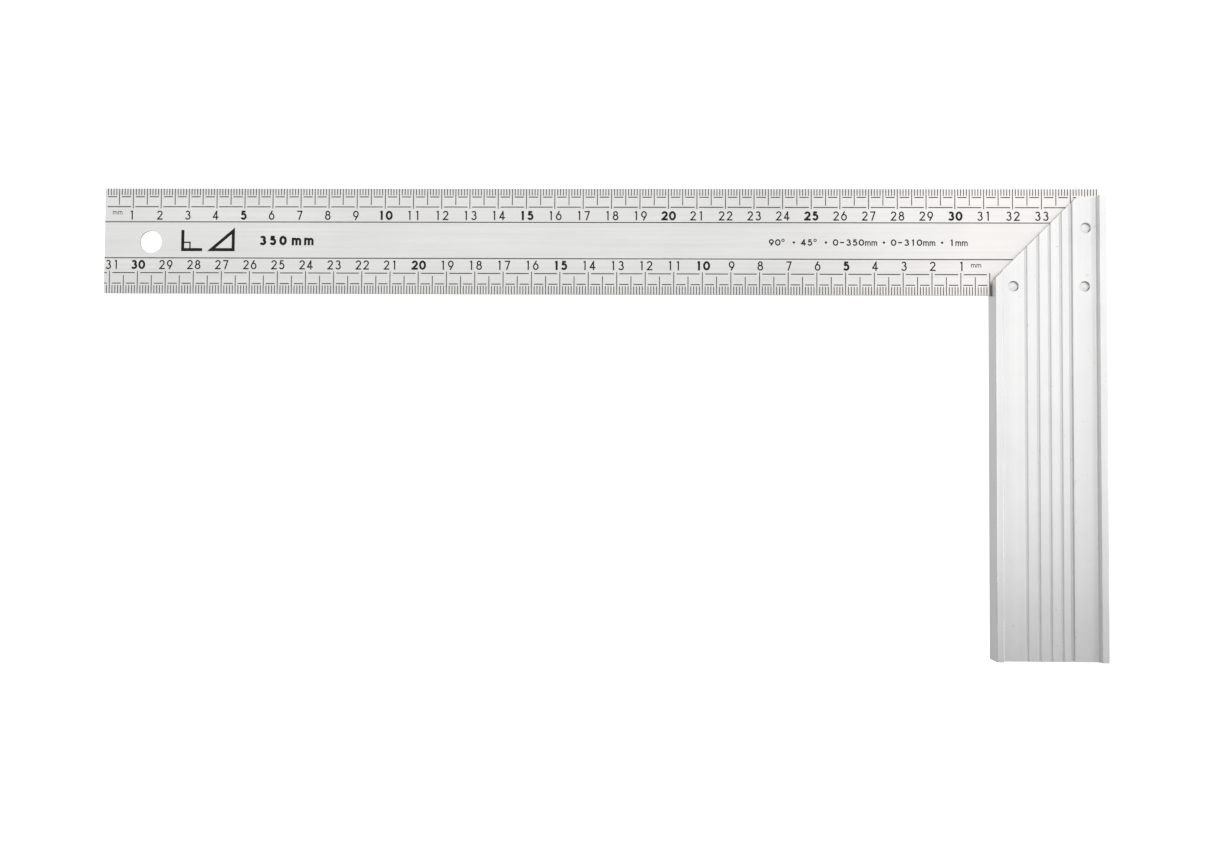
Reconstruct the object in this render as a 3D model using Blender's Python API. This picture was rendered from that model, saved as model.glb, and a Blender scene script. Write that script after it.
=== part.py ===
"""Try square: a steel rule held at a right angle in a slotted aluminium stock by three rivets.

Metres, +Z up. The square lies flat, as on a bench, and the bench plane is z = 0. The origin is the
inner corner of the right angle, straight below it on the bench plane: the stock's inner face is the
plane x = 0, and the blade's inner edge is the line y = 0. The blade runs out along -X.
"""

import math

import bmesh
import bpy

# Blade
BLADE_LENGTH = 0.350
BLADE_WIDTH = 0.0375
BLADE_THICKNESS = 0.001
BLADE_CORNER_RADIUS = 0.0004
BLADE_SETBACK = 0.00105  # from the stock's outer face in to the blade's end
HANG_HOLE_RADIUS = 0.0039
HANG_HOLE_FROM_TIP = 0.0166
HANG_HOLE_Y = 0.0184

# Stock, an extrusion with an I-shaped section that lies along Y
STOCK_WIDTH = 0.0383
STOCK_LENGTH = 0.1608
STOCK_THICKNESS = 0.012
STOCK_END_INSET = 0.0031  # from the blade's outer edge in to the stock's end
FLANGE_WIDTH = 0.0027
WEB_RECESS = 0.0033  # from the flanges' tops down to the web, on each side
OUTER_ROUND = 0.0004
LIP_ROUND = 0.0004
FOOT_FILLET = 0.0007
MITRE_START = 0.0054  # y where the 45 degree cut leaves the stock's inner face

# Grooves along the web, the same on both sides
V_GROOVE_X = (0.0112, 0.0154, 0.0193, 0.0232)
V_GROOVE_HALF_WIDTH = 0.00055
V_GROOVE_DEPTH = 0.0005
CHANNEL_X = (0.0261, 0.0273)
CHANNEL_DEPTH = 0.0014
CHANNEL_ROUND = 0.0005

# Rivets
RIVET_CENTRES = ((0.0070, 0.0031), (0.0315, 0.0031), (0.0319, 0.0235))
RIVET_HOLE_RADIUS = 0.00175
RIVET_RECESS = 0.0010  # from the web's face down to the rivet's end
RIVET_RIM = 0.0002

GAP = 0.0003  # clearance left between neighbouring pieces
MARGIN = 0.005  # how far a cutter reaches past what it cuts
ARC_STEP = math.radians(15)
HOLE_SEGMENTS = 64
RIVET_HOLE_SEGMENTS = 40
SHARP_ANGLE = math.radians(30)

# Sizes that follow from those above
MID_Z = STOCK_THICKNESS / 2
WEB_TOP = STOCK_THICKNESS - WEB_RECESS
BLADE_END_X = STOCK_WIDTH - BLADE_SETBACK
BLADE_TIP_X = BLADE_END_X - BLADE_LENGTH
STOCK_HEAD_Y = BLADE_WIDTH - STOCK_END_INSET
STOCK_FOOT_Y = STOCK_HEAD_Y - STOCK_LENGTH
RIVET_LENGTH = 2 * (WEB_TOP - MID_Z - RIVET_RECESS)


def clear_scene():
    for obj in list(bpy.data.objects):
        bpy.data.objects.remove(obj)


def metal(name, colour, roughness):
    """A bare metal: a Principled BSDF with its colour and roughness."""
    material = bpy.data.materials.new(name)
    material.use_nodes = True
    shader = material.node_tree.nodes["Principled BSDF"]
    shader.inputs["Base Color"].default_value = (*colour, 1.0)
    shader.inputs["Roughness"].default_value = roughness
    shader.inputs["Metallic"].default_value = 1.0
    return material


def arc(centre, radius, start, end):
    """Points along an arc from start to end degrees, both ends included."""
    steps = math.ceil(abs(math.radians(end - start)) / ARC_STEP)
    angles = (math.radians(start + (end - start) * step / steps) for step in range(steps + 1))
    return [
        (centre[0] + radius * math.cos(angle), centre[1] + radius * math.sin(angle))
        for angle in angles
    ]


def prism(name, outline, depth, place):
    """A mesh object: the flat outline, with each point placed by place(a, b, level), made depth deep."""
    shape = bmesh.new()
    near = [shape.verts.new(place(a, b, 0.0)) for a, b in outline]
    far = [shape.verts.new(place(a, b, depth)) for a, b in outline]
    shape.faces.new(near)
    shape.faces.new(reversed(far))
    for index in range(len(outline)):
        following = (index + 1) % len(outline)
        shape.faces.new((near[index], far[index], far[following], near[following]))
    bmesh.ops.recalc_face_normals(shape, faces=shape.faces)
    return mesh_object(name, shape)


def mesh_object(name, shape):
    """Puts a bmesh in the scene as an object, shaded smooth up to SHARP_ANGLE."""
    mesh = bpy.data.meshes.new(name)
    shape.to_mesh(mesh)
    shape.free()
    mesh.shade_smooth()
    mesh.set_sharp_from_angle(angle=SHARP_ANGLE)
    obj = bpy.data.objects.new(name, mesh)
    bpy.context.scene.collection.objects.link(obj)
    return obj


def along_y(a, b, level):
    return (a, level, b)


def along_z(a, b, level):
    return (a, b, level)


def as_cutter(obj):
    obj.hide_render = True
    obj.display_type = "WIRE"
    return obj


def cut(target, cutter):
    """Takes the cutter's shape out of the target with a Boolean modifier."""
    modifier = target.modifiers.new(f"cut_{cutter.name}", "BOOLEAN")
    modifier.operation = "DIFFERENCE"
    modifier.solver = "EXACT"
    modifier.object = cutter


def stock_top_outline():
    """The upper half of the stock's section, as (x, z), from its inner face to its outer face."""
    top = STOCK_THICKNESS
    right_flange = STOCK_WIDTH - FLANGE_WIDTH
    points = arc((OUTER_ROUND, top - OUTER_ROUND), OUTER_ROUND, 180, 90)
    points += arc((FLANGE_WIDTH - LIP_ROUND, top - LIP_ROUND), LIP_ROUND, 90, 0)
    points += arc((FLANGE_WIDTH + FOOT_FILLET, WEB_TOP + FOOT_FILLET), FOOT_FILLET, 180, 270)
    for groove_x in V_GROOVE_X:
        points.append((groove_x - V_GROOVE_HALF_WIDTH, WEB_TOP))
        points.append((groove_x, WEB_TOP - V_GROOVE_DEPTH))
        points.append((groove_x + V_GROOVE_HALF_WIDTH, WEB_TOP))
    points += channel_outline()
    points += arc((right_flange - FOOT_FILLET, WEB_TOP + FOOT_FILLET), FOOT_FILLET, 270, 360)
    points += arc((right_flange + LIP_ROUND, top - LIP_ROUND), LIP_ROUND, 180, 90)
    points += arc((STOCK_WIDTH - OUTER_ROUND, top - OUTER_ROUND), OUTER_ROUND, 90, 0)
    return points


def channel_outline():
    """The square-sided channel in the web, with rounded corners at its floor."""
    left, right = CHANNEL_X
    floor = WEB_TOP - CHANNEL_DEPTH
    points = [(left, WEB_TOP)]
    points += arc((left + CHANNEL_ROUND, floor + CHANNEL_ROUND), CHANNEL_ROUND, 180, 270)
    points += arc((right - CHANNEL_ROUND, floor + CHANNEL_ROUND), CHANNEL_ROUND, 270, 360)
    points.append((right, WEB_TOP))
    return points


def rivet_hole_cutter():
    """Three round bars, one through the stock and the blade at each rivet."""
    shape = bmesh.new()
    for x, y in RIVET_CENTRES:
        made = bmesh.ops.create_cone(
            shape,
            cap_ends=True,
            segments=RIVET_HOLE_SEGMENTS,
            radius1=RIVET_HOLE_RADIUS,
            radius2=RIVET_HOLE_RADIUS,
            depth=STOCK_THICKNESS + 2 * MARGIN,
        )
        bmesh.ops.translate(shape, verts=made["verts"], vec=(x, y, MID_Z))
    return as_cutter(mesh_object("cutter_rivet_holes", shape))


def mitre_cutter():
    """What lies beyond the 45 degree cut, which leaves the inner face at MITRE_START."""
    far_y = STOCK_HEAD_Y + MARGIN
    corner = (-MARGIN, far_y)
    low = (-MARGIN, MITRE_START - MARGIN)
    high = (far_y - MITRE_START, far_y)
    cutter = prism("cutter_mitre", (low, high, corner), STOCK_THICKNESS + 2 * MARGIN, along_z)
    cutter.location.z = -MARGIN
    return as_cutter(cutter)


def slot_cutter():
    """The saw slot for the blade, at half the stock's thickness and open at its end and both faces."""
    left, right = -MARGIN, STOCK_WIDTH + MARGIN
    bottom, end = -GAP, STOCK_HEAD_Y + MARGIN
    outline = ((left, bottom), (right, bottom), (right, end), (left, end))
    height = BLADE_THICKNESS + 2 * GAP
    cutter = prism("cutter_slot", outline, height, along_z)
    cutter.location.z = MID_Z - height / 2
    return as_cutter(cutter)


def make_stock(rivet_holes):
    top = stock_top_outline()
    bottom = [(x, STOCK_THICKNESS - z) for x, z in reversed(top)]
    stock = prism("stock", top + bottom, STOCK_LENGTH, along_y)
    stock.location.y = STOCK_FOOT_Y
    cut(stock, mitre_cutter())
    cut(stock, slot_cutter())
    cut(stock, rivet_holes)
    stock.data.materials.append(metal("anodised_aluminium", (0.78, 0.78, 0.78), 0.42))
    return stock


def make_blade(rivet_holes):
    radius = BLADE_CORNER_RADIUS
    right, top = BLADE_LENGTH - radius, BLADE_WIDTH - radius
    outline = arc((radius, radius), radius, 180, 270)
    outline += arc((right, radius), radius, 270, 360)
    outline += arc((right, top), radius, 0, 90)
    outline += arc((radius, top), radius, 90, 180)
    blade = prism("blade", outline, BLADE_THICKNESS, along_z)
    blade.location = (BLADE_TIP_X, 0.0, MID_Z - BLADE_THICKNESS / 2)
    cut(blade, hang_hole_cutter())
    cut(blade, rivet_holes)
    blade.data.materials.append(metal("stainless_steel", (0.66, 0.65, 0.63), 0.30))
    return blade


def hang_hole_cutter():
    shape = bmesh.new()
    bmesh.ops.create_cone(
        shape,
        cap_ends=True,
        segments=HOLE_SEGMENTS,
        radius1=HANG_HOLE_RADIUS,
        radius2=HANG_HOLE_RADIUS,
        depth=BLADE_THICKNESS + 2 * MARGIN,
    )
    cutter = mesh_object("cutter_hang_hole", shape)
    cutter.location = (BLADE_TIP_X + HANG_HOLE_FROM_TIP, HANG_HOLE_Y, MID_Z)
    return as_cutter(cutter)


def rivet_mesh():
    """A plain pin, upset in its hole so that both ends stay below the web's faces."""
    shape = bmesh.new()
    bmesh.ops.create_cone(
        shape,
        cap_ends=True,
        segments=RIVET_HOLE_SEGMENTS,
        radius1=RIVET_HOLE_RADIUS - GAP,
        radius2=RIVET_HOLE_RADIUS - GAP,
        depth=RIVET_LENGTH,
    )
    caps = [face for face in shape.faces if len(face.verts) > 4]
    rims = [edge for face in caps for edge in face.edges]
    bmesh.ops.bevel(shape, geom=rims, offset=RIVET_RIM, segments=2, profile=0.5, affect="EDGES")
    mesh = bpy.data.meshes.new("rivet")
    shape.to_mesh(mesh)
    shape.free()
    mesh.shade_smooth()
    mesh.set_sharp_from_angle(angle=SHARP_ANGLE)
    mesh.materials.append(metal("rivet_aluminium", (0.74, 0.74, 0.74), 0.38))
    return mesh


def make_rivets():
    """One object for each rivet, all with the same mesh."""
    mesh = rivet_mesh()
    rivets = []
    for number, (x, y) in enumerate(RIVET_CENTRES, start=1):
        rivet = bpy.data.objects.new(f"rivet_{number}", mesh)
        bpy.context.scene.collection.objects.link(rivet)
        rivet.location = (x, y, MID_Z)
        rivets.append(rivet)
    return rivets


def main():
    clear_scene()
    rivet_holes = rivet_hole_cutter()
    pieces = [make_stock(rivet_holes), make_blade(rivet_holes), *make_rivets()]
    square = bpy.data.objects.new("try_square", None)
    bpy.context.scene.collection.objects.link(square)
    for piece in pieces:
        piece.parent = square


main()
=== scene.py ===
import math
from dataclasses import dataclass

import bmesh
import bpy
from mathutils import Euler, Matrix, Vector
from mathutils.geometry import delaunay_2d_cdt


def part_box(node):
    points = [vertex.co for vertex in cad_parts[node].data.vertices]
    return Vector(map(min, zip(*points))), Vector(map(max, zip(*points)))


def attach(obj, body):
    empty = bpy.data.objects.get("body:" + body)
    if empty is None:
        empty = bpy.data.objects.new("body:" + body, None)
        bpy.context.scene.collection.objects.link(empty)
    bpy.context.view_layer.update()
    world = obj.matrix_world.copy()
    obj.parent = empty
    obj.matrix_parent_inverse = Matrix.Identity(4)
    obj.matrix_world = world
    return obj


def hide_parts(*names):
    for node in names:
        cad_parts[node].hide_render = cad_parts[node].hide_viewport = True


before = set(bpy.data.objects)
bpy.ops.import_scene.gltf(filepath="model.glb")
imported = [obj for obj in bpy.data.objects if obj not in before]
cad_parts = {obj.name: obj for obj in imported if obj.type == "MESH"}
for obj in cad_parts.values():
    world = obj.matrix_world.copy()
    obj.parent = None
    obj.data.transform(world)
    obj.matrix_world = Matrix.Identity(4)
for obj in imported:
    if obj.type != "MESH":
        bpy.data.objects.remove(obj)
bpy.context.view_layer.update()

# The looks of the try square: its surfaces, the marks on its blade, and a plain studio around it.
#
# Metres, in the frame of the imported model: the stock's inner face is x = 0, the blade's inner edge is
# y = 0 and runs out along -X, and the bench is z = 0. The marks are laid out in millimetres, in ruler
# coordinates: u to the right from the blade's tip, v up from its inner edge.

MM = 0.001

# The frame's own sizes
STOCK_LOW, STOCK_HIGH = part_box("stock")
BLADE_LOW, BLADE_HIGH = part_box("blade")
RIVET_NODES = ("rivet_1", "rivet_2", "rivet_3")
MID_Z = (STOCK_LOW.z + STOCK_HIGH.z) / 2
TIP_X = BLADE_LOW.x
BLADE_FACE = BLADE_HIGH.z

# The stock's section
FLANGE_WIDTH = 0.0027
WEB_TOP = STOCK_HIGH.z - 0.0033
OUTER_ROUND = 0.0004
LIP_ROUND = 0.0004
FOOT_FILLET = 0.0007
GROOVE_LIP = 0.00015
V_GROOVE_X = (0.0112, 0.0154, 0.0193, 0.0232)
V_GROOVE_HALF_WIDTH = 0.00055
V_GROOVE_DEPTH = 0.0005
CHANNEL_X = (0.0261, 0.0273)
CHANNEL_DEPTH = 0.0014
CHANNEL_ROUND = 0.0005

# The stock's ends, its slot and the holes
MITRE_START = 0.0054  # y where the 45 degree cut leaves the inner face
MITRE_SIDE = Vector((-1, 1, 0)).normalized()
END_CHAMFER = 0.0001
SLOT_GAP = 0.0003  # room on each side of the blade
RIVET_HOLE_RADIUS = 0.00175
RIVET_HOLE_FLARE = 0.00008
RIVET_FIT = 0.00001
RIVET_CROWN = 0.00008
RIVET_RIM = 0.00012

# The blade
BLADE_CORNER = 0.0004
BLADE_ARRIS = 0.00005
HANG_HOLE_RADIUS = 0.0039
HANG_HOLE_AT = (TIP_X + 0.0166, 0.0184)

MARGIN = 0.005  # how far a cutter reaches past what it cuts
WELD = 0.000001
ARC_STEP = math.radians(7.5)
HOLE_SEGMENTS = 96
RIVET_SEGMENTS = 64
SHARP_ANGLE = math.radians(32)

# The marks: strokes in millimetres, and how far they stand out of the steel in metres
TICK_WIDTH = 0.30
RULE_WIDTH = 0.34
REGULAR_STROKE = 0.46
BOLD_STROKE = 0.74
MARK_HEIGHT = 0.000012
MARK_ROOT = 0.000004
EDGE_CLEAR = 0.06  # from the blade's edge to the marks' ends
TIP_CLEAR = 0.45  # from the blade's tip to a number
FINE_GAP = 0.85  # beside each 5 mm mark, in the finely broken line
DIGIT_HEIGHT = 3.30
DIGIT_WIDTH = 2.05
BOLD_DIGIT_WIDTH = 2.3
DIGIT_PITCH = 2.76
MERGE = 1e-5  # points closer than this are one, in millimetres


# ---------------------------------------------------------------------------------------- materials


class Nodes:
    """A node tree and short ways to add to it."""

    def __init__(self, tree):
        self.tree = tree

    def node(self, kind, **inputs):
        made = self.tree.nodes.new(kind)
        for name, value in inputs.items():
            self.feed(made.inputs[name], value)
        return made

    def feed(self, socket, value):
        if isinstance(value, bpy.types.NodeSocket):
            self.tree.links.new(value, socket)
        else:
            socket.default_value = value

    def remap(self, value, low, high, to_low=0.0, to_high=1.0):
        """The value, taken from between low and high to between to_low and to_high, and held there."""
        ends = {"From Min": low, "From Max": high, "To Min": to_low, "To Max": to_high}
        return self.node("ShaderNodeMapRange", Value=value, **ends).outputs[0]

    def math(self, operation, first, second):
        made = self.tree.nodes.new("ShaderNodeMath")
        made.operation = operation
        self.feed(made.inputs[0], first)
        self.feed(made.inputs[1], second)
        return made.outputs[0]


class Shader(Nodes):
    """One material, with its textures and its surface."""

    def __init__(self, name, metallic):
        self.material = bpy.data.materials.new(name)
        self.material.use_nodes = True
        super().__init__(self.material.node_tree)
        self.surface = self.tree.nodes["Principled BSDF"]
        self.surface.inputs["Metallic"].default_value = metallic
        self.position = self.node("ShaderNodeTexCoord").outputs["Object"]

    def noise(self, scale, detail=2.0, roughness=0.5):
        """Noise between 0 and 1, with scale cycles a metre along each axis."""
        mapping = self.node("ShaderNodeMapping", Vector=self.position, Scale=scale)
        texture = self.node("ShaderNodeTexNoise", Vector=mapping.outputs[0], Scale=1.0, Detail=detail)
        texture.inputs["Roughness"].default_value = roughness
        return texture.outputs[0]

    def blend(self, first, first_part, second, second_part):
        """Two values, each times its part, added up."""
        first = self.math("MULTIPLY", first, first_part)
        return self.math("ADD", first, self.math("MULTIPLY", second, second_part))

    def mix(self, factor, first, second):
        made = self.tree.nodes.new("ShaderNodeMix")
        made.data_type = "RGBA"
        self.feed(made.inputs["Factor"], factor)
        self.feed(made.inputs[6], first)
        self.feed(made.inputs[7], second)
        return made.outputs[2]

    def attribute(self, name):
        made = self.tree.nodes.new("ShaderNodeAttribute")
        made.attribute_name = name
        return made.outputs["Fac"]

    def bump(self, height, distance):
        """Relief up to distance high, in metres."""
        made = self.node("ShaderNodeBump", Height=height, Strength=1.0, Distance=distance)
        self.feed(self.surface.inputs["Normal"], made.outputs[0])

    def drawn_along(self, direction, amount):
        """Fine lines along a direction spread the gloss across themselves by amount."""
        made = self.tree.nodes.new("ShaderNodeVectorMath")
        made.operation = "CROSS_PRODUCT"
        self.feed(made.inputs[0], direction)
        self.feed(made.inputs[1], self.node("ShaderNodeNewGeometry").outputs["True Normal"])
        self.feed(self.surface.inputs["Tangent"], made.outputs[0])
        self.surface.inputs["Anisotropic"].default_value = amount

    def finish(self, colour, roughness):
        self.feed(self.surface.inputs["Base Color"], colour)
        self.feed(self.surface.inputs["Roughness"], roughness)
        return self.material


def grey(level, warmth=0.0):
    """A grey as linear RGBA, a little warmer as warmth rises."""
    return (level * (1 + warmth), level, level * (1 - warmth), 1.0)


def extruded_aluminium():
    """Satin anodised aluminium, with the fine lines that the die drew along Y."""
    shader = Shader("extruded_aluminium", metallic=1.0)
    lines = shader.noise((2400, 2.5, 2400), detail=3.0, roughness=0.6)
    bands = shader.noise((360, 1.2, 360), detail=2.0)
    grain = shader.noise((7000, 5000, 7000), detail=1.0)
    mottle = shader.noise((55, 40, 55), detail=4.0, roughness=0.6)
    specks = shader.remap(shader.noise((620, 520, 620), detail=1.0), 0.74, 0.80)
    tone = shader.blend(bands, 0.45, mottle, 0.55)
    colour = shader.mix(shader.remap(tone, 0.35, 0.65), grey(0.80, 0.001), grey(0.865, 0.003))
    colour = shader.mix(shader.math("MULTIPLY", specks, 0.35), colour, grey(0.45, 0.03))
    wear = shader.math("MULTIPLY", shader.attribute("worn"), shader.remap(mottle, 0.42, 0.58))
    colour = shader.mix(wear, colour, grey(0.90, 0.0))
    satin = shader.remap(lines, 0.3, 0.7, 0.31, 0.43)
    rough = shader.math("SUBTRACT", satin, shader.math("MULTIPLY", wear, 0.14))
    shader.bump(shader.math("ADD", lines, shader.math("MULTIPLY", grain, 0.6)), distance=0.000004)
    shader.drawn_along((0, 1, 0), 0.75)
    return shader.finish(colour, rough)


def sawn_aluminium(name, dull, bright):
    """A cut face of the stock, left by the saw with fine parallel scores."""
    shader = Shader(name, metallic=1.0)
    scores = shader.noise((120, 120, 5200), detail=3.0, roughness=0.65)
    patches = shader.noise((160, 160, 160), detail=3.0)
    colour = shader.mix(shader.remap(patches, 0.35, 0.65), grey(dull), grey(bright))
    rough = shader.remap(scores, 0.3, 0.7, 0.28, 0.46)
    shader.bump(scores, distance=0.00001)
    return shader.finish(colour, rough)


def brushed_steel():
    """Stainless steel brushed along X, a little cloudy, with painted light making it lighter towards the
    stock, a little warmer there, and painted shade beside it.
    """
    shader = Shader("brushed_steel", metallic=1.0)
    brush = shader.noise((14, 4800, 4800), detail=4.0, roughness=0.65)
    strokes = shader.noise((7, 700, 700), detail=2.0)
    cloud = shader.noise((32, 55, 32), detail=3.0, roughness=0.55)
    place = shader.node("ShaderNodeSeparateXYZ", Vector=shader.position).outputs
    # Painted light: the steel is made much lighter towards the stock; it also turns a little warmer
    # there.
    painted_light_near_stock = shader.remap(place["X"], -0.075, -0.005)
    base = shader.mix(painted_light_near_stock, grey(0.765, 0.006), grey(0.915, 0.024))
    tone = shader.blend(cloud, 0.6, strokes, 0.4)
    shade = shader.remap(tone, 0.38, 0.62, 0.0, 0.13)
    colour = shader.mix(shade, base, grey(0.45, 0.01))
    # Painted shade: a dark patch on the steel in the corner where the blade enters the stock's inner
    # face.
    shade_beside_stock = shader.remap(place["X"], -0.0010, -0.0006)
    painted_slot_shade = shader.math("MULTIPLY", shade_beside_stock, shader.remap(place["Y"], 0.0052, 0.0036))
    colour = shader.mix(painted_slot_shade, colour, grey(0.21, 0.04))
    rough = shader.remap(brush, 0.3, 0.7, 0.30, 0.46)
    shader.bump(shader.math("ADD", brush, strokes), distance=0.0000025)
    shader.drawn_along((1, 0, 0), 0.5)
    return shader.finish(colour, rough)


def rivet_aluminium():
    """Soft aluminium, upset by the rivet set and slightly dimpled."""
    shader = Shader("rivet_aluminium", metallic=1.0)
    dimples = shader.noise((900, 900, 900), detail=2.0)
    scratches = shader.noise((5200, 1600, 5200), detail=2.0)
    colour = shader.mix(shader.remap(dimples, 0.3, 0.7), grey(0.82), grey(0.90))
    rough = shader.remap(scratches, 0.3, 0.7, 0.36, 0.52)
    shader.bump(shader.math("ADD", dimples, shader.math("MULTIPLY", scratches, 0.2)), distance=0.00003)
    return shader.finish(colour, rough)


def mark_ink(name, dark, light, warmth):
    """Etched and blackened marks, uneven where the ink is thin."""
    shader = Shader(name, metallic=0.0)
    thin = shader.noise((900, 900, 900), detail=3.0, roughness=0.6)
    grain = shader.noise((9000, 9000, 9000), detail=1.0)
    colour = shader.mix(shader.remap(thin, 0.4, 0.7), grey(dark, warmth), grey(light, warmth))
    rough = shader.remap(grain, 0.3, 0.7, 0.45, 0.65)
    shader.surface.inputs["Specular IOR Level"].default_value = 0.2
    shader.bump(grain, distance=0.000002)
    return shader.finish(colour, rough)


# -------------------------------------------------------------------------------------------- shapes


def rounded(corners):
    """A closed outline from corners (a, b, radius): every corner is turned into an arc of its radius."""
    points = []
    for index, (a, b, radius) in enumerate(corners):
        here = Vector((a, b))
        back = (Vector(corners[index - 1][:2]) - here).normalized()
        onward = (Vector(corners[(index + 1) % len(corners)][:2]) - here).normalized()
        angle = back.angle(onward)
        turn = math.pi - angle
        steps = max(1, math.ceil(turn / ARC_STEP))
        centre = here + (back + onward).normalized() * radius / math.sin(angle / 2)
        start = here + back * radius / math.tan(angle / 2) - centre
        side = 1 if back.x * onward.y - back.y * onward.x < 0 else -1
        for step in range(steps + 1):
            points.append(centre + Matrix.Rotation(side * turn * step / steps, 2) @ start)
    return points


def prism(outline, depth, place):
    """A bmesh body: the flat outline, with each point placed by place(a, b, level), made depth deep."""
    shape = bmesh.new()
    near = [shape.verts.new(place(a, b, 0.0)) for a, b in outline]
    far = [shape.verts.new(place(a, b, depth)) for a, b in outline]
    shape.faces.new(near)
    shape.faces.new(reversed(far))
    for index in range(len(outline)):
        following = (index + 1) % len(outline)
        shape.faces.new((near[index], far[index], far[following], near[following]))
    bmesh.ops.recalc_face_normals(shape, faces=shape.faces)
    return shape


def turned(profile, segments=HOLE_SEGMENTS):
    """A bmesh body turned about Z from (radius, z) points, lowest first, closed flat at both ends."""
    shape = bmesh.new()
    rings = []
    for radius, z in profile:
        angles = (2 * math.pi * step / segments for step in range(segments))
        rings.append([shape.verts.new((radius * math.cos(t), radius * math.sin(t), z)) for t in angles])
    for lower, upper in zip(rings, rings[1:]):
        for index in range(segments):
            following = (index + 1) % segments
            shape.faces.new((lower[index], lower[following], upper[following], upper[index]))
    shape.faces.new(reversed(rings[0]))
    shape.faces.new(rings[-1])
    return shape


def bevel_rims(shape, faces, width):
    """Breaks the edges between the given flat faces and the rest of the body."""
    rims = [edge for face in faces for edge in face.edges if len(set(faces) & set(edge.link_faces)) == 1]
    bmesh.ops.bevel(shape, geom=rims, offset=width, segments=2, profile=0.5, affect="EDGES")


def mesh_object(name, shape, *materials):
    mesh = bpy.data.meshes.new(name)
    shape.to_mesh(mesh)
    shape.free()
    for material in materials:
        mesh.materials.append(material)
    obj = bpy.data.objects.new(name, mesh)
    bpy.context.scene.collection.objects.link(obj)
    return obj


def weld(mesh):
    """Joins points that a cut left closer than a micrometre."""
    shape = bmesh.new()
    shape.from_mesh(mesh)
    bmesh.ops.remove_doubles(shape, verts=shape.verts, dist=WELD)
    shape.to_mesh(mesh)
    shape.free()


def cut(target, *cutters):
    """Takes the cutters' shapes out of the target, and removes the cutters."""
    for cutter in cutters:
        modifier = target.modifiers.new(cutter.name, "BOOLEAN")
        modifier.operation = "DIFFERENCE"
        modifier.solver = "EXACT"
        modifier.object = cutter
    bpy.context.view_layer.update()
    evaluated = target.evaluated_get(bpy.context.evaluated_depsgraph_get())
    mesh = bpy.data.meshes.new_from_object(evaluated)
    weld(mesh)
    target.modifiers.clear()
    target.data = mesh
    for cutter in cutters:
        bpy.data.objects.remove(cutter)


def shade(obj):
    """Smooth round stretches, crisp arrises and truly flat flats."""
    obj.data.shade_smooth()
    obj.data.set_sharp_from_angle(angle=SHARP_ANGLE)
    weighted = obj.modifiers.new("flat_flats", "WEIGHTED_NORMAL")
    weighted.keep_sharp = True
    weighted.weight = 100


def hole_cutter(name, centre, radius, low, high, flare):
    """A round bar along Z that widens by flare where it meets the faces at low and high."""
    profile = (
        (radius + flare, low - MARGIN),
        (radius + flare, low),
        (radius, low + flare),
        (radius, high - flare),
        (radius + flare, high),
        (radius + flare, high + MARGIN),
    )
    shape = turned(profile)
    bmesh.ops.translate(shape, verts=shape.verts, vec=(*centre, 0.0))
    return mesh_object(name, shape)


def rivet_centre(node):
    low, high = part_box(node)
    return (low.x + high.x) / 2, (low.y + high.y) / 2


def along_y(a, b, level):
    return (a, STOCK_LOW.y + level, b)


def along_z(a, b, level):
    return (a, b, BLADE_LOW.z + level)


# --------------------------------------------------------------------------------------------- stock


def groove_corners(centre):
    """One V groove in the web, as section corners."""
    return [
        (centre - V_GROOVE_HALF_WIDTH, WEB_TOP, GROOVE_LIP),
        (centre, WEB_TOP - V_GROOVE_DEPTH, GROOVE_LIP),
        (centre + V_GROOVE_HALF_WIDTH, WEB_TOP, GROOVE_LIP),
    ]


def channel_corners():
    left, right = CHANNEL_X
    floor = WEB_TOP - CHANNEL_DEPTH
    return [
        (left, WEB_TOP, GROOVE_LIP),
        (left, floor, CHANNEL_ROUND),
        (right, floor, CHANNEL_ROUND),
        (right, WEB_TOP, GROOVE_LIP),
    ]


def stock_section():
    """The stock's whole section as (x, z) points: its upper half, then the same mirrored below."""
    top, width = STOCK_HIGH.z, STOCK_HIGH.x
    corners = [
        (0.0, top, OUTER_ROUND),
        (FLANGE_WIDTH, top, LIP_ROUND),
        (FLANGE_WIDTH, WEB_TOP, FOOT_FILLET),
    ]
    for centre in V_GROOVE_X:
        corners += groove_corners(centre)
    corners += channel_corners()
    corners += [
        (width - FLANGE_WIDTH, WEB_TOP, FOOT_FILLET),
        (width - FLANGE_WIDTH, top, LIP_ROUND),
        (width, top, OUTER_ROUND),
    ]
    mirrored = [(x, 2 * MID_Z - z, radius) for x, z, radius in reversed(corners)]
    return rounded(corners + mirrored)


def saw_off(shape, point, normal):
    """Cuts the body along a plane, drops what lies beyond it and closes the cut with one face."""
    everything = shape.verts[:] + shape.edges[:] + shape.faces[:]
    made = bmesh.ops.bisect_plane(
        shape,
        geom=everything,
        dist=MM * MERGE,
        plane_co=point,
        plane_no=normal,
        clear_outer=True,
    )
    edges = [item for item in made["geom_cut"] if isinstance(item, bmesh.types.BMEdge)]
    bmesh.ops.edgeloop_fill(shape, edges=edges)


def slot_cutter():
    """The saw slot for the blade, open at the stock's head and on both long faces."""
    low = Vector((-MARGIN, BLADE_LOW.y - SLOT_GAP))
    high = Vector((STOCK_HIGH.x + MARGIN, STOCK_HIGH.y + MARGIN))
    outline = (low, (high.x, low.y), high, (low.x, high.y))
    shape = prism(outline, BLADE_HIGH.z - BLADE_LOW.z + 2 * SLOT_GAP, along_z)
    bmesh.ops.translate(shape, verts=shape.verts, vec=(0, 0, -SLOT_GAP))
    return mesh_object("slot_cutter", shape)


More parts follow.
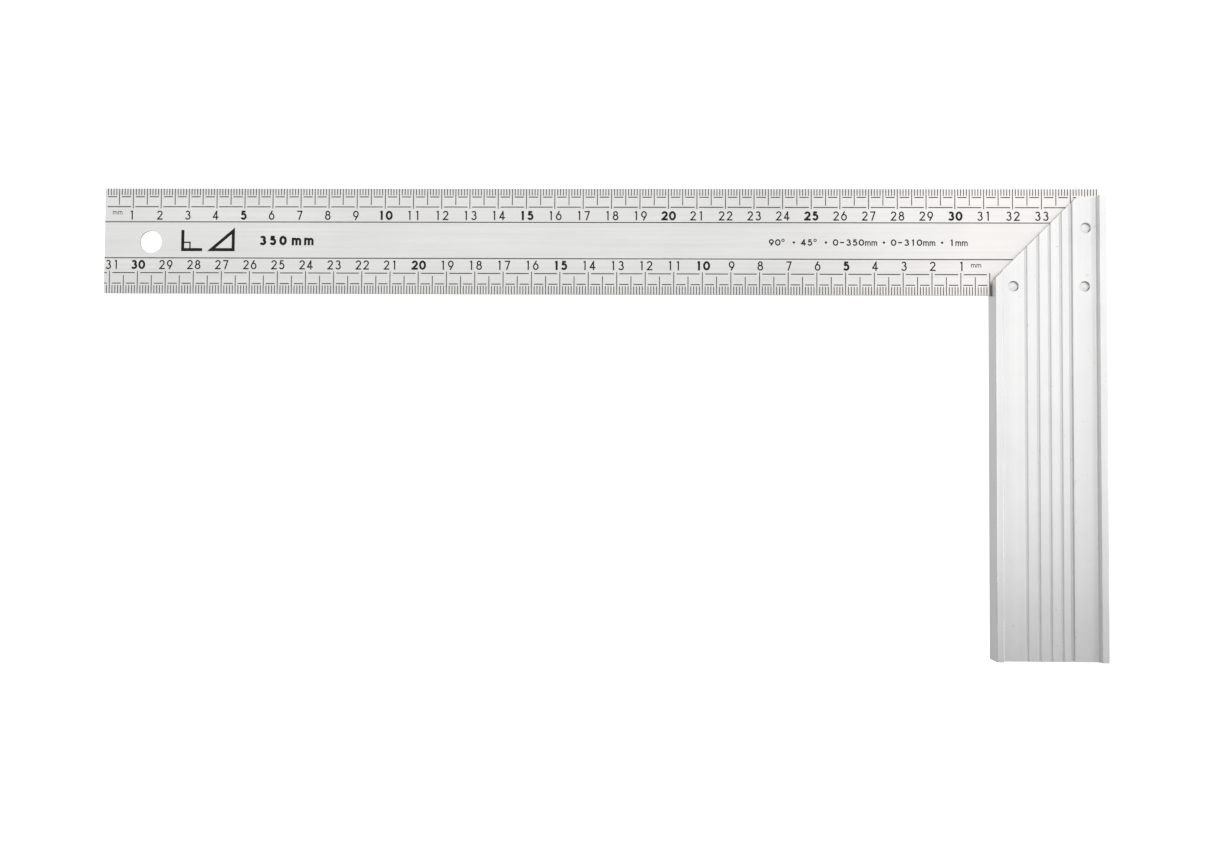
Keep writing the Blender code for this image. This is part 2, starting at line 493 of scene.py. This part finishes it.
def mark_worn_arrises(mesh):
    """Faces on the flanges' rounded arrises get worn = 1, and the rest 0."""
    worn = mesh.attributes.new("worn", "FLOAT", "FACE")
    flange = WEB_TOP + FOOT_FILLET
    square_on = 0.995
    for face in mesh.polygons:
        steepest = max(abs(part) for part in face.normal)
        on_flange = abs(face.center.z - MID_Z) > flange - MID_Z
        worn.data[face.index].value = 1.0 if on_flange and steepest < square_on else 0.0


def dress_stock_ends(mesh):
    """The square ends take the second material, and the mitre's cut with its chamfer the third, a much
    darker copy that paints shade along the joint.
    """
    facing_mitre, facing_end = 0.8, 0.69
    for face in mesh.polygons:
        if face.normal.dot(MITRE_SIDE) > facing_mitre:
            face.material_index = 2
        elif abs(face.normal.y) > facing_end:
            face.material_index = 1


def make_stock():
    shape = prism(stock_section(), STOCK_HIGH.y - STOCK_LOW.y, along_y)
    saw_off(shape, (0.0, MITRE_START, 0.0), MITRE_SIDE)
    bmesh.ops.recalc_face_normals(shape, faces=shape.faces)
    bevel_rims(shape, [face for face in shape.faces if abs(face.normal.y) > 0.5], END_CHAMFER)
    square_end = sawn_aluminium("sawn_end", dull=0.76, bright=0.86)
    # Painted shade: the mitre's cut face is a much darker copy of the sawn aluminium, for the dark line
    # along its joint with the blade.
    mitre = sawn_aluminium("sawn_mitre_painted_shade", dull=0.20, bright=0.34)
    stock = mesh_object("stock_extrusion", shape, extruded_aluminium(), square_end, mitre)
    holes = [
        hole_cutter(
            f"{node}_hole",
            rivet_centre(node),
            RIVET_HOLE_RADIUS,
            2 * MID_Z - WEB_TOP,
            WEB_TOP,
            RIVET_HOLE_FLARE,
        )
        for node in RIVET_NODES
    ]
    cut(stock, slot_cutter(), *holes)
    mark_worn_arrises(stock.data)
    dress_stock_ends(stock.data)
    shade(stock)
    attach(stock, "root")
    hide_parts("stock")


# --------------------------------------------------------------------------------------------- blade


def make_blade():
    low, high = BLADE_LOW, BLADE_HIGH
    outline = rounded(
        [
            (low.x, low.y, BLADE_CORNER),
            (high.x, low.y, BLADE_CORNER),
            (high.x, high.y, BLADE_CORNER),
            (low.x, high.y, BLADE_CORNER),
        ]
    )
    shape = prism(outline, high.z - low.z, along_z)
    bevel_rims(shape, [face for face in shape.faces if abs(face.normal.z) > 0.5], BLADE_ARRIS)
    blade = mesh_object("blade_rule", shape, brushed_steel())
    holes = [hole_cutter("hang_hole", HANG_HOLE_AT, HANG_HOLE_RADIUS, low.z, high.z, BLADE_ARRIS)]
    for node in RIVET_NODES:
        name, centre = f"{node}_blade_hole", rivet_centre(node)
        holes.append(hole_cutter(name, centre, RIVET_HOLE_RADIUS, low.z, high.z, BLADE_ARRIS))
    cut(blade, *holes)
    shade(blade)
    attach(blade, "root")
    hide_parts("blade")


# -------------------------------------------------------------------------------------------- rivets


def rivet_profile(low, high):
    """A pin that fills its hole, with rounded rims and slightly crowned ends, as (radius, z)."""
    radius = RIVET_HOLE_RADIUS - RIVET_FIT
    steps = 6
    rim = []
    for step in range(steps + 1):
        angle = math.pi / 2 * step / steps
        rim.append((radius - RIVET_RIM * (1 - math.sin(angle)), RIVET_RIM * (1 - math.cos(angle))))
    flat = radius - RIVET_RIM
    crown = [(flat * part, -RIVET_CROWN * (1 - part**2)) for part in (0.1, 0.3, 0.5, 0.7, 0.9)]
    end = crown + rim
    lower = [(r, low + RIVET_CROWN + z) for r, z in end]
    upper = [(r, high - RIVET_CROWN - z) for r, z in reversed(end)]
    return lower + upper


def make_rivets():
    """Each rivet is a pin that fills its hole."""
    material = rivet_aluminium()
    for node in RIVET_NODES:
        low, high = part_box(node)
        shape = turned(rivet_profile(low.z, high.z), segments=RIVET_SEGMENTS)
        bmesh.ops.translate(shape, verts=shape.verts, vec=(*rivet_centre(node), 0.0))
        rivet = mesh_object(f"{node}_set", shape, material)
        shade(rivet)
        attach(rivet, "root")
        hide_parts(node)


# ------------------------------------------------------------------------- strokes of the marks, in mm


def bar(left, bottom, right, top):
    return [(left, bottom), (right, bottom), (right, top), (left, top)]


def disc(u, v, radius):
    segments = 32
    angles = (2 * math.pi * step / segments for step in range(segments))
    return [(u + radius * math.cos(t), v + radius * math.sin(t)) for t in angles]


def bow(u, v, radius_u, radius_v, start, end):
    """Points of an elliptical arc from start to end degrees, about ten degrees apart."""
    steps = max(2, math.ceil(abs(end - start) / 10))
    angles = (math.radians(start + (end - start) * step / steps) for step in range(steps + 1))
    return [(u + radius_u * math.cos(t), v + radius_v * math.sin(t)) for t in angles]


def stroke(points, width, closed=False):
    """Four-sided outlines that together draw a line of the given width through the points."""
    sharpest = 0.35  # of a turn, as a cosine: past it the corner's point is cut short
    path = [Vector(point) for point in points]
    count = len(path)
    offsets = []
    for index, here in enumerate(path):
        before = path[index - 1] if index or closed else None
        after = path[(index + 1) % count] if index < count - 1 or closed else None
        arriving = (here - before).normalized() if before is not None else None
        leaving = (after - here).normalized() if after is not None else None
        way = ((arriving or leaving) + (leaving or arriving)).normalized()
        stretch = 1 / max(sharpest, way.dot(leaving or arriving))
        offsets.append(Vector((-way.y, way.x)) * width / 2 * stretch)
    right = [here - offset for here, offset in zip(path, offsets)]
    left = [here + offset for here, offset in zip(path, offsets)]
    pieces = []
    for index in range(count if closed else count - 1):
        following = (index + 1) % count
        pieces.append([right[index], right[following], left[following], left[index]])
    return pieces


def digit(number, width, height, pen):
    """The strokes of one digit, drawn with the pen's width, centred on u = 0 and standing on v = 0."""
    a = (width - pen) / 2
    h = height - pen
    upper, lower = 0.45 * h / 2, 0.55 * h / 2
    if number == 0:
        strokes = stroke(bow(0, h / 2, 1.12 * a, h / 2, 0, 350), pen, closed=True)
    elif number == 1:
        strokes = stroke([(0.15 * a, -pen / 2), (0.15 * a, h + pen / 2)], pen)
        strokes += stroke([(-0.55 * a, h - 0.3 * a), (0.15 * a, h - 0.02 * a)], pen)
    elif number == 2:
        bowl = bow(0, h - a * 0.95, a * 0.95, a * 0.95, 172, -36)
        strokes = stroke(bowl + [(-a * 0.86, 0)], pen)
        strokes += stroke([(-a - pen / 2, 0), (a + pen / 2, 0)], pen)
    elif number == 3:
        strokes = stroke(bow(0, h - upper, 0.78 * a, upper, 158, -90), pen)
        strokes += stroke(bow(0, lower, 0.98 * a, lower, 90, -158), pen)
    elif number == 4:
        stem, bar_v = 0.42 * a, 0.24 * h
        strokes = stroke([(stem, -pen / 2), (stem, h + pen / 2)], pen)
        strokes += stroke([(-a - pen / 2, bar_v), (a + pen / 2, bar_v)], pen)
        strokes += stroke([(-a, bar_v), (stem, h)], pen)
    elif number == 5:
        strokes = stroke([(-0.42 * a, h), (0.82 * a, h)], pen)
        strokes += stroke([(-0.42 * a, h + pen / 2), (-0.66 * a, 0.52 * h)], pen)
        strokes += stroke(bow(-0.06 * a, 0.335 * h, 0.98 * a, 0.335 * h, 140, -155), pen)
    elif number == 6:
        strokes = digit_six(a, h, pen)
    elif number == 7:
        strokes = stroke([(-a - pen / 4, h), (a, h)], pen)
        strokes += stroke([(a, h + pen / 2), (-0.35 * a, -pen / 2)], pen)
    elif number == 8:
        strokes = stroke(bow(0, h - upper, 0.76 * a, upper, 0, 350), pen, closed=True)
        strokes += stroke(bow(0, lower, 0.98 * a, lower, 0, 350), pen, closed=True)
    else:
        strokes = [[Vector((-p.x, h - p.y)) for p in piece] for piece in digit_six(a, h, pen)]
    return moved(strokes, 0, pen / 2)


def digit_six(a, h, pen):
    """The six's strokes before they stand on the line; the nine is the same turned over."""
    radius = 0.34 * h
    touch = math.radians(150)
    left = (0.99 * a * math.cos(touch), radius + radius * math.sin(touch))
    strokes = stroke(bow(0, radius, 0.99 * a, radius, 0, 350), pen, closed=True)
    strokes += stroke([left, (0.30 * a, h + pen / 2)], pen)
    return strokes


def letter_m(width, height, pen):
    """A small m, centred on u = 0 and standing on v = 0."""
    a = (width - pen) / 2
    arch = a / 2
    strokes = stroke([(-a, 0), (-a, height)], pen)
    for centre in (-arch, arch):
        arc = bow(centre, height - pen / 2 - arch, arch, arch, 180, 0)
        strokes += stroke(arc + [(centre + arch, 0)], pen)
    return strokes


def moved(pieces, u, v):
    return [[Vector((point[0] + u, point[1] + v)) for point in piece] for piece in pieces]


def number_strokes(number, u, v, width, pen):
    """A whole number centred on u and standing on v, with its digits a fixed pitch apart."""
    text = str(number)
    pieces = []
    for place, character in enumerate(text):
        offset = (place - (len(text) - 1) / 2) * DIGIT_PITCH
        pieces += moved(digit(int(character), width, DIGIT_HEIGHT, pen), u + offset, v)
    return pieces


def close_below(shape, level):
    """Gives flat faces walls down to the level, and the same faces turned over there."""
    fronts = shape.faces[:]
    rims = [edge.link_loops[0] for edge in shape.edges if edge.is_boundary]
    below = {vert: shape.verts.new((vert.co.x, vert.co.y, level)) for vert in shape.verts[:]}
    for face in fronts:
        shape.faces.new([below[vert] for vert in reversed(face.verts)])
    for loop in rims:
        start, end = loop.vert, loop.link_loop_next.vert
        shape.faces.new((end, start, below[start], below[end]))
    bmesh.ops.recalc_face_normals(shape, faces=shape.faces)


def marks(name, pieces, material):
    """Joins overlapping outlines into one thin closed body on the blade's face."""
    points, faces = [], []
    for piece in pieces:
        corners = [Vector(point) for point in piece]
        area = sum(p.cross(q) for p, q in zip(corners, corners[1:] + corners[:1]))
        if area < 0:
            corners.reverse()
        faces.append(list(range(len(points), len(points) + len(corners))))
        points += corners
    flat_points, _, triangles, _, _, owners = delaunay_2d_cdt(points, [], faces, 1, MERGE)
    shape = bmesh.new()
    root, top = BLADE_FACE - MARK_ROOT, BLADE_FACE + MARK_HEIGHT
    verts = [shape.verts.new((TIP_X + u * MM, v * MM, top)) for u, v in flat_points]
    for triangle, owner in zip(triangles, owners):
        if owner:
            shape.faces.new([verts[index] for index in triangle])
    loose = [vert for vert in shape.verts if not vert.link_faces]
    bmesh.ops.delete(shape, geom=loose, context="VERTS")
    inner = [edge for edge in shape.edges if not edge.is_boundary]
    bmesh.ops.dissolve_edges(shape, edges=inner, use_verts=False)
    close_below(shape, root)
    obj = mesh_object(name, shape, material)
    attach(obj, "root")


# ------------------------------------------------------------------------------------- the two scales


@dataclass
class Scale:
    """One edge's scale. Distances are in millimetres from that edge, into the blade."""

    name: str
    zero: float  # u of the zero mark
    step: int  # +1 when the numbers grow to the right
    edge: float  # v of the edge
    inward: int  # +1 when the blade lies above the edge
    length: int
    tick_reach: tuple  # of the 1, 5 and 10 mm marks
    fine_rule: float  # the line broken at every 5 mm mark
    coarse_rule: float  # the line broken at every 10 mm mark
    full_rule: float
    lines_start: float  # where its lines start, along the scale
    coarse_gap: float  # beside each 10 mm mark, in the coarsely broken line
    digits_v: float
    last_number: int
    bold: tuple
    single_shift: float
    double_shift: float

    def at(self, distance):
        return self.edge + self.inward * distance

    def band(self, start, end, near, far):
        """A rectangle from start to end along the scale and from near to far off the edge."""
        first, second = sorted((self.zero + self.step * start, self.zero + self.step * end))
        bottom, top = sorted((self.at(near), self.at(far)))
        return bar(first, bottom, second, top)


OUTER = Scale(
    name="outer",
    zero=0.0,
    step=1,
    edge=37.5,
    inward=-1,
    length=350,
    tick_reach=(2.48, 5.9, 7.2),
    fine_rule=3.04,
    coarse_rule=6.6,
    full_rule=12.0,
    lines_start=EDGE_CLEAR,
    coarse_gap=0.78,
    digits_v=26.25,
    last_number=33,
    bold=(5, 10, 15, 20, 25, 30),
    single_shift=-0.4,
    double_shift=0.05,
)
INNER = Scale(
    name="inner",
    zero=312.0,
    step=-1,
    edge=0.0,
    inward=1,
    length=312,
    tick_reach=(2.95, 6.43, 8.0),
    fine_rule=3.6,
    coarse_rule=7.36,
    full_rule=12.64,
    lines_start=-20.0,
    coarse_gap=0.95,
    digits_v=8.6,
    last_number=31,
    bold=(5, 10, 15, 20, 30),
    single_shift=0.25,
    double_shift=0.1,
)


def tick_pieces(scale):
    """Every millimetre mark, longer at 5 and 10, except the last, which would lie on the blade's end."""
    pieces = []
    half = TICK_WIDTH / 2
    for millimetre in range(scale.length):
        rank = 2 if millimetre % 10 == 0 else 1 if millimetre % 5 == 0 else 0
        start = max(millimetre - half, scale.lines_start)
        pieces.append(scale.band(start, millimetre + half, EDGE_CLEAR, scale.tick_reach[rank]))
    return pieces


def rule_pieces(scale):
    """The two broken lines between the marks, and the full line that closes the numbers' band."""
    half = RULE_WIDTH / 2
    end = scale.length - EDGE_CLEAR
    pieces = [scale.band(scale.lines_start, end, scale.full_rule - half, scale.full_rule + half)]
    for step, gap, rule in ((5, FINE_GAP, scale.fine_rule), (10, scale.coarse_gap, scale.coarse_rule)):
        for start in range(0, scale.length, step):
            first, last = start + gap, min(start + step - gap, end)
            if first < last:
                pieces.append(scale.band(first, last, rule - half, rule + half))
    return pieces


def number_pieces(scale, bold):
    """The centimetre numbers in the wanted weight, kept clear of the blade's tip."""
    width, pen = (BOLD_DIGIT_WIDTH, BOLD_STROKE) if bold else (DIGIT_WIDTH, REGULAR_STROKE)
    pieces = []
    for number in range(1, scale.last_number + 1):
        if (number in scale.bold) != bold:
            continue
        wide = number > 9
        half_width = (width + (DIGIT_PITCH if wide else 0.0)) / 2
        shift = scale.double_shift if wide else scale.single_shift
        u = max(scale.zero + scale.step * 10 * number + shift, half_width + TIP_CLEAR)
        pieces += number_strokes(number, u, scale.digits_v, width, pen)
    return pieces


def make_scales():
    grey_ink = mark_ink("tick_ink", dark=0.035, light=0.08, warmth=0.06)
    dark_ink = mark_ink("number_ink", dark=0.010, light=0.03, warmth=0.02)
    for scale in (OUTER, INNER):
        marks(f"{scale.name}_scale_marks", tick_pieces(scale) + rule_pieces(scale), grey_ink)
        marks(f"{scale.name}_scale_numbers", number_pieces(scale, bold=False), dark_ink)
        marks(f"{scale.name}_scale_bold_numbers", number_pieces(scale, bold=True), dark_ink)


# ---------------------------------------------------------------------------- the plain band's marks


def unit_pieces(centre, v, width, height, pitch, pen):
    """The unit mm, around its centre."""
    letter = letter_m(width, height, pen)
    return moved(letter, centre - pitch / 2, v) + moved(letter, centre + pitch / 2, v)


def size_pieces():
    """The blade's length, 350 mm, in wide-set bold."""
    v = 17.2
    first_digit, digit_pitch = 56.6, 3.6
    pieces = []
    for place, number in enumerate((3, 5, 0)):
        figure = digit(number, width=2.5, height=3.4, pen=0.9)
        pieces += moved(figure, first_digit + digit_pitch * place, v)
    return pieces + unit_pieces(centre=70.8, v=v, width=3.4, height=2.7, pitch=4.4, pen=0.82)


def angle_sign_pieces():
    """Two plain signs, a right angle and a 45 degree triangle, for the angles that the tool marks."""
    pen, thin_pen = 1.1, 0.5
    left, bottom, arm, box = 28.0, 15.6, 7.0, 2.6
    pieces = stroke([(left, bottom + arm), (left, bottom), (left + arm, bottom)], pen)
    pieces += stroke([(left, bottom + box), (left + box, bottom + box), (left + box, bottom)], thin_pen)
    left, wide, high = 38.2, 7.84, 6.72
    corners = [(left, bottom), (left + wide, bottom), (left + wide, bottom + high)]
    return pieces + stroke(corners, pen, closed=True)


def legend_pieces():
    """A thin line of plain figures: the tool's angles, the reach of its scales and their step."""
    height, pen, pitch, word_gap = 2.3, 0.46, 2.25, 1.1
    u, v = 236.1, 17.4
    middle, dash, ring = height / 2, 0.7, 0.42
    pieces = []
    for word in ("90°", "•", "45°", "•", "0–350mm", "•", "0–310mm", "•", "1mm"):
        for character in word:
            if character.isdigit():
                made = digit(int(character), width=1.8, height=height, pen=pen)
            elif character == "m":
                made = letter_m(width=2.0, height=1.65, pen=0.36)
            elif character == "°":
                made = stroke(bow(-ring, height - ring, ring, ring, 0, 330), 0.3, closed=True)
            elif character == "–":
                made = [bar(-dash, middle - pen / 2, dash, middle + pen / 2)]
            else:
                made = [disc(0, middle, 0.42)]
            pieces += moved(made, u, v)
            u += pitch
        u += word_gap
    return pieces


def make_band_marks():
    bold = mark_ink("bold_ink", dark=0.008, light=0.02, warmth=0.0)
    thin = mark_ink("legend_ink", dark=0.01, light=0.03, warmth=0.02)
    faint = mark_ink("faint_ink", dark=0.12, light=0.22, warmth=0.05)
    marks("angle_signs", angle_sign_pieces(), bold)
    marks("size_figures", size_pieces(), bold)
    marks("legend_figures", legend_pieces(), thin)
    by_outer = unit_pieces(centre=4.45, v=28.1, width=1.6, height=1.25, pitch=1.85, pen=0.24)
    by_inner = unit_pieces(centre=307.3, v=9.85, width=1.63, height=1.25, pitch=1.9, pen=0.24)
    marks("outer_unit", by_outer, faint)
    marks("inner_unit", by_inner, thin)


# -------------------------------------------------------------------------------------------- studio


def floor_material():
    shader = Shader("pale_floor", metallic=0.0)
    soft = shader.noise((2.0, 2.0, 2.0), detail=1.0)
    colour = shader.mix(soft, grey(0.88), grey(0.92))
    shader.surface.inputs["Emission Color"].default_value = grey(1.0)
    shader.surface.inputs["Emission Strength"].default_value = 0.85
    return shader.finish(colour, 0.9)


def make_floor():
    half = 30.0
    shape = bmesh.new()
    corners = [(-half, -half, 0.0), (half, -half, 0.0), (half, half, 0.0), (-half, half, 0.0)]
    shape.faces.new([shape.verts.new(corner) for corner in corners])
    floor = mesh_object("floor", shape, floor_material())
    floor.visible_glossy = False
    floor.visible_shadow = False


def softbox(name, location, target, size, radiance):
    """A rectangular light of an even radiance that faces the target."""
    light = bpy.data.lights.new(name, "AREA")
    light.shape = "RECTANGLE"
    light.size, light.size_y = size
    light.energy = radiance * math.pi * size[0] * size[1]
    lamp = bpy.data.objects.new(name, light)
    lamp.location = location
    lamp.rotation_euler = (Vector(target) - Vector(location)).to_track_quat("-Z", "Y").to_euler()
    bpy.context.scene.collection.objects.link(lamp)


def make_world():
    """Soft light from all around: brighter low down before and behind, on the right and from below."""
    world = bpy.data.worlds.new("studio")
    world.use_nodes = True
    sky = Nodes(world.node_tree)
    generated = sky.node("ShaderNodeTexCoord").outputs["Generated"]
    direction = sky.node("ShaderNodeSeparateXYZ", Vector=generated).outputs
    behind = sky.remap(direction["Y"], -0.4, 0.4, 0.0, 0.5)
    before = sky.remap(direction["Y"], -0.75, -0.4, 0.45, 0.0)
    below = sky.remap(direction["Z"], -0.3, 0.3, 0.33, 0.15)
    right = sky.remap(direction["X"], 0.4, 0.85, 0.0, 0.55)
    total = sky.math("ADD", sky.math("ADD", behind, before), sky.math("ADD", below, right))
    background = sky.tree.nodes["Background"]
    sky.feed(background.inputs["Color"], grey(1.0))
    sky.feed(background.inputs["Strength"], sky.math("MINIMUM", total, 0.7))
    bpy.context.scene.world = world


def make_lights():
    make_world()
    softbox(
        "ceiling_light",
        location=(-0.05, 0.445, 1.2),
        target=(-0.05, 0.445, 0.0),
        size=(2.3, 1.29),
        radiance=0.72,
    )
    softbox(
        "right_light",
        location=(1.3, 0.15, 0.55),
        target=(0.0, 0.0, 0.0),
        size=(1.0, 0.8),
        radiance=0.5,
    )
    bpy.context.scene.view_settings.view_transform = "Standard"


def make_camera():
    """Almost straight above the square, at the height and tilt of a product photograph."""
    data = bpy.data.cameras.new("camera")
    data.sensor_width = 36.0
    data.lens = 46.26
    camera = bpy.data.objects.new("camera", data)
    tilt = Euler((math.radians(2.612), math.radians(1.823), math.radians(0.322)), "ZYX")
    camera.rotation_mode = "ZYX"
    camera.rotation_euler = tilt
    camera.location = (-0.11645, -0.07100, 0.55102)
    bpy.context.scene.collection.objects.link(camera)
    bpy.context.scene.camera = camera


make_camera()
make_lights()
make_floor()
make_stock()
make_blade()
make_rivets()
make_scales()
make_band_marks()

bpy.context.view_layer.update()
